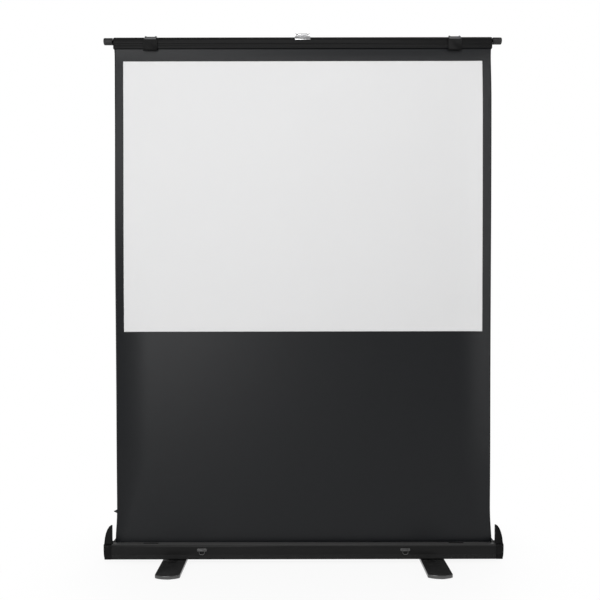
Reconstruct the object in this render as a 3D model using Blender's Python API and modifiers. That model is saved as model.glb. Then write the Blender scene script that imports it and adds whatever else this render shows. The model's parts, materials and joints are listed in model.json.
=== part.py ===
# Pull-up projection screen with a two-stage scissor lift, raised and standing on its turned-out feet.
# Metres, +Z up. X runs along the case, the picture faces -Y, and the floor is z = 0 under the middle.

import bpy
import bmesh
from math import acos, asin, cos, degrees, hypot, pi, radians, sin, tan
from mathutils import Matrix, Vector

# Fits
FIT = 0.0003                    # gap between pieces that touch
OVERRUN = 0.004                 # how far a cutter passes the faces it opens
CHAMFER_TRIM = 0.0006           # softened edges of moulded pieces
MERGE = 0.0001

# Picture and fabric
IMAGE_WIDTH = 1.600
IMAGE_HEIGHT = 1.204
SIDE_BORDER = 0.038
TOP_BORDER = 0.0535
DROP = 0.9365                   # black fabric between the case and the picture
FABRIC_THICKNESS = 0.0005
VIEWING_THICKNESS = 0.0004
FABRIC_DRAW_IN = 0.009          # how far the taut sides draw in towards the roller
FABRIC_FLARE = 0.190            # height over which they spread again to the roller
SIDE_STEPS = 8

# Case extrusion
CASE_DEPTH = 0.110
CASE_HEIGHT = 0.065
CASE_WALL = 0.0022
CASE_FRONT_RADIUS = 0.012
CASE_REAR_RADIUS = 0.008
CASE_FOOT_RADIUS = 0.004
CASE_SIDE_ROOM = 0.008          # from the fabric's edge to the end cap
MOUTH_LEAD = 0.004              # the mouth's front edge ahead of the fabric
DECK_REAR = 0.013               # deck behind the mouth
MOUTH_LIP = 0.010
MOUTH_RADIUS = 0.0016
GROOVE_COUNT = 4
GROOVE_START = 0.0075
GROOVE_PITCH = 0.0042
GROOVE_WIDTH = 0.0014
GROOVE_DEPTH = 0.0009

# End caps
CAP_THICKNESS = 0.0345
CAP_PLAN_RADIUS = 0.006
CAP_PROUD = 0.0012              # how far a cap stands proud of the extrusion
CAP_BELLY = 0.054               # a cap's widest point above the case's underside
CAP_RIM = 0.003                 # wall that closes the extrusion beside the tray
TRAY_DEPTH = 0.0145             # below the deck
TRAY_RADIUS = 0.005
EAR_RISE = 0.082                # above the case
EAR_SETBACK = 0.0155            # from the cap's front
EAR_DEPTH = 0.014
EAR_TOP_DEPTH = 0.009
EAR_TIP = 0.005                 # thickness of the ear at its tip
EAR_FILLET = 0.003
TONGUE_LENGTH = 0.027
TONGUE_THICKNESS = 0.004
BOSS_RADIUS = 0.011
BOSS_LENGTH = 0.0045

# Feet
FOOT_INSET = 0.278              # swivel axis from the case's end
FOOT_LEAD = 0.025               # swivel axis ahead of the scissor's middle
FOOT_LENGTH = 0.512
FOOT_WIDTH = 0.105
FOOT_THICKNESS = 0.015
FOOT_NOSE = 0.018               # how far the round ends bulge past the straight sides
FOOT_CORNER = 0.010
FOOT_BEVEL = 0.004
PAD_LENGTH = 0.024
PAD_WIDTH = 0.057
PAD_THICKNESS = 0.003
PAD_INSET = 0.028
PAD_CORNER = 0.006
DISC_THICKNESS = 0.0021
SWIVEL_RADIUS = 0.034
BOLT_RADIUS = 0.005
BOLT_HEAD_RADIUS = 0.010
BOLT_HEAD = 0.005
BOLT_NUT = 0.007
NUT_RADIUS = 0.0085

# Roller
ROLLER_PLACE_SHARE = 0.25       # of the case's depth, ahead of its middle
ROLLER_DROP = 0.0358            # roller axis below the case's inner ceiling
TUBE_RADIUS = 0.016
TUBE_WALL = 0.0015
PLUG_FLANGE = 0.0015
PLUG_DEPTH = 0.024
GUDGEON_RADIUS = 0.004
FABRIC_ROLL_WALL = 0.001
ARBOR_REACH = 0.240
SPRING_LENGTH = 0.130
SPRING_RADIUS = 0.0062
SPRING_WIRE = 0.0008
SPRING_TURNS = 10
SPRING_POINTS = 7
COLLAR_RADIUS = 0.009
COLLAR_LENGTH = 0.008

# Scissor
ARM_PITCH = 1.300               # between an arm's two end pivots
ARM_WIDTH = 0.020
ARM_THICKNESS = 0.010
LAYER_GAP = 0.002
SCISSOR_LEAD = 0.017            # the scissor's middle ahead of the mouth's rear edge
PIVOT_HEIGHT = 0.0222           # pivot above the seat of its clevis or rail
PIN_RADIUS = 0.004
PIN_HEAD_RADIUS = 0.008
PIN_HEAD = 0.0030
PIN_EDGE = 0.0008
FRICTION_RADIUS = 0.009
ELBOW_ROOM = 0.0004             # extra room in the hole of the open elbow

# Clevises, shoes and rails
CLEVIS_LENGTH = 0.044
CLEVIS_BASE = 0.003
CHEEK = 0.0029
CHEEK_ABOVE_PIVOT = 0.0085
CHEEK_ROUND_SHARE = 0.6         # of half a cheek's length
RAIL_WIDTH = 0.025
RAIL_HEIGHT = 0.0066
RAIL_WALL = 0.0015
RAIL_LIP = 0.0025
SHOE_LENGTH = 0.036
SHOE_SKID = 0.0027
RAIL_OVERTRAVEL = 0.012

# Top bar
BAR_LAP = 0.007                 # how far the bar is deeper than the mouth at front and rear
BAR_LEAD = 0.003                # the bar's middle ahead of the mouth's middle
BAR_END_ROOM = 0.0006           # from the fabric's edge to the bar's end
BAR_WALL_HEIGHT = 0.034
BAR_DOME = 0.0215
BAR_WALL = 0.002
BAR_GROOVE_START = 0.012
BAR_GROOVE_WIDTH = 0.010
BAR_GROOVE_DEPTH = 0.0022
BAR_REST_GAP = 0.001            # between the lowered bar and the case
BAR_PIVOT_HEIGHT = 0.0118       # top pivots above the bar's lower edge
BAR_CAP = 0.0025
PEG_HEIGHT = 0.0425             # peg axis above the bar's lower edge
PEG_RADIUS = 0.0155
PEG_LENGTH = 0.040
PEG_NECK = 0.0096
PEG_FILLET = 0.005
STUB_RADIUS = 0.006
STUB_DEPTH = 0.026
HEM_RADIUS = 0.004
CLAMP_WALL = 0.0025
CLAMP_SLOT = 0.0035
KEYHOLE_START = -62             # degrees round the hem rod, between the slot's two sides
KEYHOLE_END = 242

# Pull handle
HANDLE_WIDTH = 0.068
HANDLE_FRONT_ANGLE = 178        # degrees of the dome's arc that the plate covers
HANDLE_REAR_ANGLE = 62
HANDLE_PLATE = 0.0045
HANDLE_EAR = 0.004
HANDLE_EAR_RADIUS = 0.0055
HANDLE_PIVOT_RISE = 0.0149
BAIL_RADIUS = 0.0024
BAIL_DEPTH = 0.029
BAIL_CORNER = 0.009
BAIL_FOOT_CORNER = 0.003
BAIL_TILT = 20                  # degrees that the resting bail slopes forward
GRIP_RADIUS = 0.005
GRIP_LENGTH = 0.038

# Latches on the bar
LATCH_INSET = 0.170             # from the case's end
LATCH_WIDTH = 0.062
LATCH_PLATE = 0.005
LATCH_TOP = 0.0375
LATCH_HOOK_DROP = 0.0105
LATCH_NOSE = 0.0032
LATCH_NOSE_HEIGHT = 0.0045
LATCH_LUG = 0.0045
LATCH_PIN_RADIUS = 0.0016
LATCH_PIVOT_HEIGHT = 0.0425
LATCH_PIVOT_OUT = 0.0024
TAB_KNUCKLE = 0.0036
TAB_THICKNESS = 0.0024
TAB_LIFT = 0.0012               # between the tab and the bar's dome
TAB_START_ANGLE = 20            # degrees of the dome's arc that the tab covers, from the front
TAB_END_ANGLE = 70
TAB_HEEL_ANGLE = 7              # further degrees that the tab's outer face leaves to the knuckle
TAB_WRAP_START = 10             # degrees of the knuckle's arc
TAB_WRAP_END = -265
TAB_RIB = 0.006
TAB_RIB_RISE = 0.0024
TAB_RIB_HEEL = 20               # degrees of the tab left plain below and above its ribs
TAB_RIB_TOE = 10
KEEPER_ROOM = 0.002

# Strap rings on the case front
STRAP_INSET = 0.399             # from the case's end
STRAP_HEIGHT = 0.0425           # hinge above the case's underside
STRAP_WIDTH = 0.043
STRAP_PLATE_HEIGHT = 0.012
STRAP_PLATE = 0.0016
STRAP_LUG = 0.004
STRAP_LUG_RADIUS = 0.0034
RIVET_RADIUS = 0.0038
RIVET_DOME = 0.0024
RIVET_SPACING = 0.035
RING_WIRE = 0.0014
RING_WIDTH = 0.023
RING_DROP = 0.019
RING_TOP_CORNER = 0.0028
RING_CORNER = 0.008

# Facets
PIN_STEPS = 16
RIVET_STEPS = 10
ROUND_STEPS = 28
ARC_STEPS = 4
NOSE_STEPS = 6
SHARP_ANGLE = 35                # degrees between faces that stay sharp
BEVEL_ANGLE = 60

# Places worked out from the sizes
FABRIC_WIDTH = IMAGE_WIDTH + 2 * SIDE_BORDER
CASE_HALF = FABRIC_WIDTH / 2 + CASE_SIDE_ROOM
FOOT_X = CASE_HALF - FOOT_INSET
LATCH_X = CASE_HALF - LATCH_INSET
STRAP_X = CASE_HALF - STRAP_INSET
FIXED_PIVOT_X = -ARM_PITCH / 2
ROLLER_Y = -ROLLER_PLACE_SHARE * CASE_DEPTH
FABRIC_Y = ROLLER_Y + TUBE_RADIUS + FABRIC_ROLL_WALL + FABRIC_THICKNESS
MOUTH_FRONT_Y = FABRIC_Y - MOUTH_LEAD
MOUTH_REAR_Y = CASE_DEPTH / 2 - DECK_REAR
SCISSOR_Y = MOUTH_REAR_Y - SCISSOR_LEAD
FOOT_Y = SCISSOR_Y - FOOT_LEAD
BAR_DEPTH = MOUTH_REAR_Y - MOUTH_FRONT_Y + 2 * BAR_LAP
BAR_Y = (MOUTH_REAR_Y + MOUTH_FRONT_Y) / 2 - BAR_LEAD
CASE_FLOOR = PAD_THICKNESS + FOOT_THICKNESS + DISC_THICKNESS + 3 * FIT
DECK = CASE_FLOOR + CASE_HEIGHT
SEAT = CASE_FLOOR + CASE_WALL + FIT
BASE_PIVOT = SEAT + PIVOT_HEIGHT
BAR_BOTTOM = DECK + DROP + IMAGE_HEIGHT + TOP_BORDER
CEILING = BAR_BOTTOM + BAR_PIVOT_HEIGHT + PIVOT_HEIGHT
TOP_PIVOT = BAR_BOTTOM + BAR_PIVOT_HEIGHT
BAR_HALF = FABRIC_WIDTH / 2 + BAR_END_ROOM
BAR_FRONT = BAR_Y - BAR_DEPTH / 2
BAR_SHOULDER = BAR_BOTTOM + BAR_WALL_HEIGHT + BAR_WALL
BAR_CROWN = BAR_SHOULDER + BAR_DOME
ROLLER_Z = DECK - CASE_WALL - ROLLER_DROP
LOWERED = DECK + BAR_REST_GAP - BAR_BOTTOM
OPEN_ANGLE = asin((TOP_PIVOT - BASE_PIVOT) / (2 * ARM_PITCH))
SHUT_ANGLE = asin((TOP_PIVOT + LOWERED - BASE_PIVOT) / (2 * ARM_PITCH))
STAGE = ARM_PITCH * sin(OPEN_ANGLE)
SLIDING_PIVOT_X = FIXED_PIVOT_X + ARM_PITCH * cos(OPEN_ANGLE)
STOWED_PIVOT_X = FIXED_PIVOT_X + ARM_PITCH * cos(SHUT_ANGLE)
FRONT_LAYER = SCISSOR_Y - (ARM_THICKNESS + LAYER_GAP) / 2
REAR_LAYER = SCISSOR_Y + (ARM_THICKNESS + LAYER_GAP) / 2
LAYERS_DEPTH = 2 * ARM_THICKNESS + LAYER_GAP
SLOT_HALF = ARM_THICKNESS / 2 + FIT
CHEEK_HALF = SLOT_HALF + CHEEK

# Frames for flat outlines: a section in Y and Z swept along X, and a face in X and Z seen from -Y
SECTION = Matrix(((0, 0, 1, 0), (1, 0, 0, 0), (0, 1, 0, 0), (0, 0, 0, 1)))
FACE = Matrix.Rotation(pi / 2, 4, 'X')
SIDES = (("left", -1), ("right", 1))


def at(x, y, z):
    return Matrix.Translation((x, y, z))


# Scene, collections and finishes
def empty_scene():
    for old in list(bpy.data.objects):
        bpy.data.objects.remove(old, do_unlink=True)
    collections = []
    for name in ("pull_up_screen", "cutters"):
        collection = bpy.data.collections.new(name)
        bpy.context.scene.collection.children.link(collection)
        collections.append(collection)
    return collections


def finish(name, rgb, roughness, metallic=0.0):
    material = bpy.data.materials.new(name)
    material.use_nodes = True
    shader = material.node_tree.nodes["Principled BSDF"]
    shader.inputs["Base Color"].default_value = (*rgb, 1.0)
    shader.inputs["Roughness"].default_value = roughness
    shader.inputs["Metallic"].default_value = metallic
    material.diffuse_color = (*rgb, 1.0)
    return material


def put(name, mesh, place, material, body=None, smooth=True):
    mesh.name = name
    piece = bpy.data.objects.new(name, mesh)
    PARTS.objects.link(piece)
    mesh.materials.clear()
    mesh.materials.append(material.copy())
    mesh.materials[0].name = name
    if smooth and mesh.polygons:
        mesh.shade_smooth()
        mesh.set_sharp_from_angle(angle=radians(SHARP_ANGLE))
    set_down(piece, place, body)
    return piece


def body_at(name, place, parent=None):
    """An empty on a joint's axis, which carries the pieces that the joint moves."""
    body = bpy.data.objects.new(name, None)
    body.empty_display_size = ARM_WIDTH
    PARTS.objects.link(body)
    set_down(body, place, parent)
    return body


def set_down(piece, place, parent):
    piece.parent = parent
    piece.matrix_basis = place if parent is None else world(parent).inverted() @ place


def world(piece):
    return piece.matrix_basis if piece.parent is None else world(piece.parent) @ piece.matrix_basis


def cutter(name, mesh, place):
    mesh.name = name
    tool = bpy.data.objects.new(name, mesh)
    CUTTERS.objects.link(tool)
    tool.matrix_basis = place
    tool.hide_render = True
    tool.display_type = 'WIRE'
    return tool


def boolean(piece, tool, operation='DIFFERENCE'):
    modifier = piece.modifiers.new(tool.name, 'BOOLEAN')
    modifier.operation = operation
    modifier.solver = 'EXACT'
    modifier.object = tool


# Outlines
def arc(u, v, radius, start, end, steps=ARC_STEPS, radius_v=None):
    radius_v = radius if radius_v is None else radius_v
    angles = [radians(start + (end - start) * i / steps) for i in range(steps + 1)]
    return [(u + radius * cos(a), v + radius_v * sin(a)) for a in angles]


def filleted(corners, steps=ARC_STEPS, closed=True):
    """Round a polygon of (u, v, radius) corners."""
    points = []
    count = len(corners)
    for i, (u, v, radius) in enumerate(corners):
        inner = closed or 0 < i < count - 1
        if radius == 0 or not inner:
            points.append((u, v))
            continue
        here = Vector((u, v))
        back = (Vector(corners[i - 1][:2]) - here).normalized()
        ahead = (Vector(corners[(i + 1) % count][:2]) - here).normalized()
        half = back.angle(ahead) / 2
        reach = radius / tan(half)
        centre = here + (back + ahead).normalized() * (radius / sin(half))
        first = here + back * reach - centre
        last = here + ahead * reach - centre
        sweep = first.angle_signed(last)
        for k in range(steps + 1):
            turn = -sweep * k / steps
            points.append((centre.x + first.x * cos(turn) - first.y * sin(turn),
                           centre.y + first.x * sin(turn) + first.y * cos(turn)))
    return points


def rectangle(width, height, radius=0.0, u=0.0, v=0.0, steps=ARC_STEPS):
    corners = [(u + su * width / 2, v + sv * height / 2, radius)
               for su, sv in ((-1, -1), (1, -1), (1, 1), (-1, 1))]
    return filleted(corners, steps)


def ring(radius, u=0.0, v=0.0, steps=PIN_STEPS):
    return arc(u, v, radius, 0, 360 * (steps - 1) / steps, steps - 1)


def inset(path, distance):
    """Offset an open path to its left by a distance, with mitred corners."""
    points = []
    for i, here in enumerate(path):
        back = path[max(i - 1, 0)]
        ahead = path[min(i + 1, len(path) - 1)]
        normals = []
        for a, b in ((back, here), (here, ahead)):
            length = hypot(b[0] - a[0], b[1] - a[1])
            if length > 0:
                normals.append(Vector((-(b[1] - a[1]) / length, (b[0] - a[0]) / length)))
        mean = sum(normals, Vector((0, 0))).normalized()
        scale = distance / mean.dot(normals[0])
        points.append((here[0] + mean.x * scale, here[1] + mean.y * scale))
    return points


# Meshes
def flat_mesh(loops, thickness):
    """A plate from closed loops in local X and Y, with its thickness centred on local Z."""
    curve = bpy.data.curves.new("outline", 'CURVE')
    curve.dimensions = '2D'
    curve.fill_mode = 'BOTH'
    curve.extrude = thickness / 2
    for loop in loops:
        spline = curve.splines.new('POLY')
        spline.points.add(len(loop) - 1)
        for point, (u, v) in zip(spline.points, loop):
            point.co = (u, v, 0, 1)
        spline.use_cyclic_u = True
    return curve_mesh(curve)


def curve_mesh(curve):
    holder = bpy.data.objects.new("outline", curve)
    bpy.context.scene.collection.objects.link(holder)
    graph = bpy.context.evaluated_depsgraph_get()
    mesh = bpy.data.meshes.new_from_object(holder.evaluated_get(graph))
    bpy.data.objects.remove(holder)
    shape = bmesh.new()
    shape.from_mesh(mesh)
    bmesh.ops.remove_doubles(shape, verts=shape.verts, dist=MERGE / 10)
    bmesh.ops.recalc_face_normals(shape, faces=shape.faces)
    shape.to_mesh(mesh)
    shape.free()
    return mesh


def block_mesh(width, depth, height):
    shape = bmesh.new()
    bmesh.ops.create_cube(shape, size=1.0, matrix=Matrix.Diagonal((width, depth, height, 1)))
    mesh = bpy.data.meshes.new("block")
    shape.to_mesh(mesh)
    shape.free()
    return mesh


def rod_mesh(radius, length, steps=PIN_STEPS):
    shape = bmesh.new()
    bmesh.ops.create_cone(shape, cap_ends=True, segments=steps, radius1=radius, radius2=radius, depth=length)
    mesh = bpy.data.meshes.new("rod")
    shape.to_mesh(mesh)
    shape.free()
    return mesh


def turned(name, profile, place, material, body=None, steps=PIN_STEPS, closed=False):
    """A turned piece: (radius, height) points down its outer side, spun about local Z."""
    mesh = bpy.data.meshes.new(name)
    edges = [(i, i + 1) for i in range(len(profile) - 1)]
    if closed:
        edges.append((len(profile) - 1, 0))
    mesh.from_pydata([(radius, 0, height) for radius, height in profile], edges, [])
    piece = put(name, mesh, place, material, body)
    screw = piece.modifiers.new("turn", 'SCREW')
    screw.steps = steps
    screw.render_steps = steps
    screw.use_merge_vertices = True
    screw.merge_threshold = MERGE
    screw.use_smooth_shade = True
    return piece


def tube_piece(name, points, radius, place, material, body=None, cyclic=False, resolution=2):
    """A wire or rod bent along a list of points."""
    curve = bpy.data.curves.new(name, 'CURVE')
    curve.dimensions = '3D'
    curve.bevel_depth = radius
    curve.bevel_resolution = resolution
    curve.use_fill_caps = not cyclic
    spline = curve.splines.new('POLY')
    spline.points.add(len(points) - 1)
    for point, co in zip(spline.points, points):
        point.co = (*co, 1)
    spline.use_cyclic_u = cyclic
    return put(name, curve_mesh(curve), place, material, body)


def bevelled(piece, width, segments=2):
    bevel = piece.modifiers.new("edges", 'BEVEL')
    bevel.width = width
    bevel.segments = segments
    bevel.limit_method = 'ANGLE'
    bevel.angle_limit = radians(BEVEL_ANGLE)
    return piece


# Case extrusion: an open C along the case, grooved low on its front, with turned-down lips at the mouth
def case_section():
    front = -CASE_DEPTH / 2
    rear = CASE_DEPTH / 2
    corners = [
        (MOUTH_FRONT_Y, DECK - MOUTH_LIP, 0),
        (MOUTH_FRONT_Y, DECK, MOUTH_RADIUS),
        (front, DECK, CASE_FRONT_RADIUS),
        (front, CASE_FLOOR, CASE_FOOT_RADIUS),
        (rear, CASE_FLOOR, CASE_FOOT_RADIUS),
        (rear, DECK, CASE_REAR_RADIUS),
        (MOUTH_REAR_Y, DECK, MOUTH_RADIUS),
        (MOUTH_REAR_Y, DECK - MOUTH_LIP, 0),
    ]
    outer = filleted(corners, closed=False)
    inner = filleted(corners_inside(corners), closed=False)
    grooved = []
    for a, b in zip(outer, outer[1:] + [outer[-1]]):
        grooved.append(a)
        if abs(a[0] - front) < MERGE and abs(b[0] - front) < MERGE and a != b:
            for i in reversed(range(GROOVE_COUNT)):
                low = CASE_FLOOR + GROOVE_START + i * GROOVE_PITCH
                high = low + GROOVE_WIDTH
                grooved += [(front, high), (front + GROOVE_DEPTH, high),
                            (front + GROOVE_DEPTH, low), (front, low)]
    return grooved + inner[::-1]


def corners_inside(corners):
    """The same corners moved in by the wall, for the inner face of an open section."""
    moved = inset([(u, v) for u, v, _ in corners], CASE_WALL)
    return [(u, v, max(r - CASE_WALL, 0)) for (u, v), (_, _, r) in zip(moved, corners)]


def make_case():
    shell = put("case_shell", flat_mesh([case_section()], 2 * CASE_HALF), SECTION, BLACK_GLOSS)
    keeper_length = LATCH_WIDTH + 2 * KEEPER_ROOM
    keeper_width = LATCH_PLATE + LATCH_NOSE + 2 * KEEPER_ROOM
    keeper_y = BAR_FRONT - FIT - (LATCH_PLATE + LATCH_NOSE) / 2
    for side, sign in SIDES:
        slot = cutter("keeper_slot_" + side, block_mesh(keeper_length, keeper_width, 2 * OVERRUN),
                      at(sign * LATCH_X, keeper_y, DECK))
        boolean(shell, slot)
        hole = cutter("foot_hole_" + side, rod_mesh(BOLT_RADIUS + FIT, 2 * OVERRUN),
                      at(sign * FOOT_X, FOOT_Y, CASE_FLOOR))
        boolean(shell, hole)


# End caps: a moulding over the case's end, with an ear at the front and a tray behind it for the bar's peg
def cap_side_outline():
    front = -CASE_DEPTH / 2 - CAP_PROUD
    deck = DECK + CAP_PROUD
    top = DECK + EAR_RISE
    ear_front = front + EAR_SETBACK
    ear_rear = ear_front + EAR_DEPTH
    lean = (EAR_DEPTH - EAR_TOP_DEPTH) / 2
    return filleted([
        (front, CASE_FLOOR, CASE_FOOT_RADIUS),
        (-front, CASE_FLOOR, CASE_FOOT_RADIUS),
        (-front, deck, CASE_REAR_RADIUS),
        (ear_rear, deck, EAR_FILLET),
        (ear_rear - lean, top, EAR_FILLET),
        (ear_front + lean, top, EAR_FILLET),
        (ear_front, deck, EAR_FILLET),
        (front, deck, CASE_FRONT_RADIUS),
    ])


def cap_front_outline():
    """The cap seen from the front, from its inner face at u = 0 outwards."""
    top = DECK + EAR_RISE
    belly = CASE_FLOOR + CAP_BELLY
    end = degrees(acos(EAR_TIP / CAP_THICKNESS))
    rise = (top - belly) / sin(radians(end))
    start = -degrees(asin(CAP_BELLY / rise))
    curve = arc(0, belly, CAP_THICKNESS, start, end, 2 * ARC_STEPS, rise)
    foot = [(-OVERRUN, CASE_FLOOR - OVERRUN), (curve[0][0], CASE_FLOOR - OVERRUN)]
    return foot + curve + [(EAR_TIP, top + OVERRUN), (-OVERRUN, top + OVERRUN)]


def tray_outline():
    rear = CASE_DEPTH / 2 + CAP_PROUD + OVERRUN
    ahead = EAR_SETBACK + EAR_DEPTH + EAR_FILLET - CASE_DEPTH / 2 - CAP_PROUD
    floor = DECK - TRAY_DEPTH
    top = DECK + EAR_RISE + OVERRUN
    return filleted([(ahead, floor, TRAY_RADIUS), (rear, floor, 0), (rear, top, 0), (ahead, top, 0)])


def cap_grooves():
    front = -CASE_DEPTH / 2 - CAP_PROUD
    lows = [CASE_FLOOR + GROOVE_START + i * GROOVE_PITCH for i in range(GROOVE_COUNT)]
    return [rectangle(2 * GROOVE_DEPTH, GROOVE_WIDTH, 0, front, low + GROOVE_WIDTH / 2) for low in lows]


def make_end_caps():
    for side, sign in SIDES:
        face = sign * (CASE_HALF + FIT)
        inward = -sign
        cap = put("end_cap_" + side, flat_mesh([cap_side_outline()], CAP_THICKNESS),
                  at(face + sign * CAP_THICKNESS / 2, 0, 0) @ SECTION, BLACK_MOULDED)
        fin = flat_mesh([[(sign * u, v) for u, v in cap_front_outline()]], 2 * CASE_DEPTH)
        boolean(cap, cutter("cap_fin_" + side, fin, at(face, 0, 0) @ FACE), 'INTERSECT')
        plan = rectangle(2 * CAP_THICKNESS, CASE_DEPTH + 2 * CAP_PROUD, CAP_PLAN_RADIUS)
        boolean(cap, cutter("cap_plan_" + side, flat_mesh([plan], 2 * (DECK + EAR_RISE)),
                            at(face, 0, DECK)), 'INTERSECT')
        tray = flat_mesh([tray_outline()], CAP_THICKNESS)
        boolean(cap, cutter("cap_tray_" + side, tray,
                            at(face + sign * (CAP_RIM + CAP_THICKNESS / 2), 0, 0) @ SECTION))
        boolean(cap, cutter("cap_grooves_" + side, flat_mesh(cap_grooves(), 2 * CAP_THICKNESS + 2 * OVERRUN),
                            at(face + sign * CAP_THICKNESS / 2, 0, 0) @ SECTION))
        tongue_depth = MOUTH_REAR_Y - FABRIC_Y - 2 * TONGUE_THICKNESS
        tongue_y = (MOUTH_REAR_Y - TONGUE_THICKNESS + FABRIC_Y + TONGUE_THICKNESS) / 2
        tongue = block_mesh(TONGUE_LENGTH + OVERRUN, tongue_depth, TONGUE_THICKNESS)
        tongue_x = face + inward * (TONGUE_LENGTH - OVERRUN) / 2
        boolean(cap, cutter("cap_tongue_" + side, tongue,
                            at(tongue_x, tongue_y, DECK - TONGUE_THICKNESS / 2)), 'UNION')
        boss = rod_mesh(BOSS_RADIUS, BOSS_LENGTH + OVERRUN)
        boss_x = face + inward * (BOSS_LENGTH - OVERRUN) / 2
        boolean(cap, cutter("cap_boss_" + side, boss, at(boss_x, ROLLER_Y, ROLLER_Z) @ SECTION), 'UNION')
        socket = rod_mesh(GUDGEON_RADIUS + FIT, 2 * (BOSS_LENGTH + OVERRUN))
        boolean(cap, cutter("cap_socket_" + side, socket, at(face, ROLLER_Y, ROLLER_Z) @ SECTION))


# Feet: flat bars with round ends that swivel under the case on a bolt, with rubber pads at both ends
def foot_outline():
    half = FOOT_WIDTH / 2
    radius = (half ** 2 + FOOT_NOSE ** 2) / (2 * FOOT_NOSE)
    sweep = degrees(asin(half / radius))
    nose = arc(0, FOOT_LENGTH / 2 - radius, radius, 90 + sweep, 90 - sweep, NOSE_STEPS)
    last = len(nose) - 1
    ends = nose + [(-u, -v) for u, v in nose]
    return filleted([(u, v, 0 if 0 < i % (last + 1) < last else FOOT_CORNER) for i, (u, v) in enumerate(ends)])


def make_feet():
    foot_z = PAD_THICKNESS + FIT + FOOT_THICKNESS / 2
    for side, sign in SIDES:
        x = sign * FOOT_X
        body = body_at("foot_axis_" + side, at(x, FOOT_Y, 0))
        foot = put("foot_" + side, flat_mesh([foot_outline()], FOOT_THICKNESS), at(x, FOOT_Y, foot_z),
                   FOOT_BLACK, body)
        bevelled(foot, FOOT_BEVEL)
        hole = rod_mesh(BOLT_RADIUS + FIT, FOOT_THICKNESS + 2 * OVERRUN)
        boolean(foot, cutter("bolt_hole_" + side, hole, at(x, FOOT_Y, foot_z)))
        well = rod_mesh(BOLT_HEAD_RADIUS + FIT, 2 * (BOLT_HEAD + FIT), ROUND_STEPS)
        boolean(foot, cutter("bolt_well_" + side, well, at(x, FOOT_Y, PAD_THICKNESS + FIT)))
        pad_y = FOOT_LENGTH / 2 - PAD_INSET - PAD_LENGTH / 2
        for end, direction in (("front", -1), ("rear", 1)):
            pad = flat_mesh([rectangle(PAD_WIDTH, PAD_LENGTH, PAD_CORNER)], PAD_THICKNESS)
            pad_place = at(x, FOOT_Y + direction * pad_y, PAD_THICKNESS / 2)
            put("foot_pad_%s_%s" % (end, side), pad, pad_place, RUBBER, body)
        disc_z = foot_z + FOOT_THICKNESS / 2 + FIT
        turned("swivel_disc_" + side,
               [(SWIVEL_RADIUS, disc_z + DISC_THICKNESS), (SWIVEL_RADIUS, disc_z),
                (BOLT_RADIUS + FIT, disc_z), (BOLT_RADIUS + FIT, disc_z + DISC_THICKNESS)],
               at(x, FOOT_Y, 0), NYLON, steps=ROUND_STEPS, closed=True)
        head_z = PAD_THICKNESS + FIT
        nut_z = CASE_FLOOR + CASE_WALL + FIT
        turned("foot_bolt_" + side,
               [(0, nut_z + BOLT_NUT), (NUT_RADIUS, nut_z + BOLT_NUT),
                (NUT_RADIUS, nut_z), (BOLT_RADIUS, nut_z), (BOLT_RADIUS, head_z + BOLT_HEAD),
                (BOLT_HEAD_RADIUS, head_z + BOLT_HEAD), (BOLT_HEAD_RADIUS, head_z), (0, head_z)],
               at(x, FOOT_Y, 0), STEEL, steps=PIN_STEPS)


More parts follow.
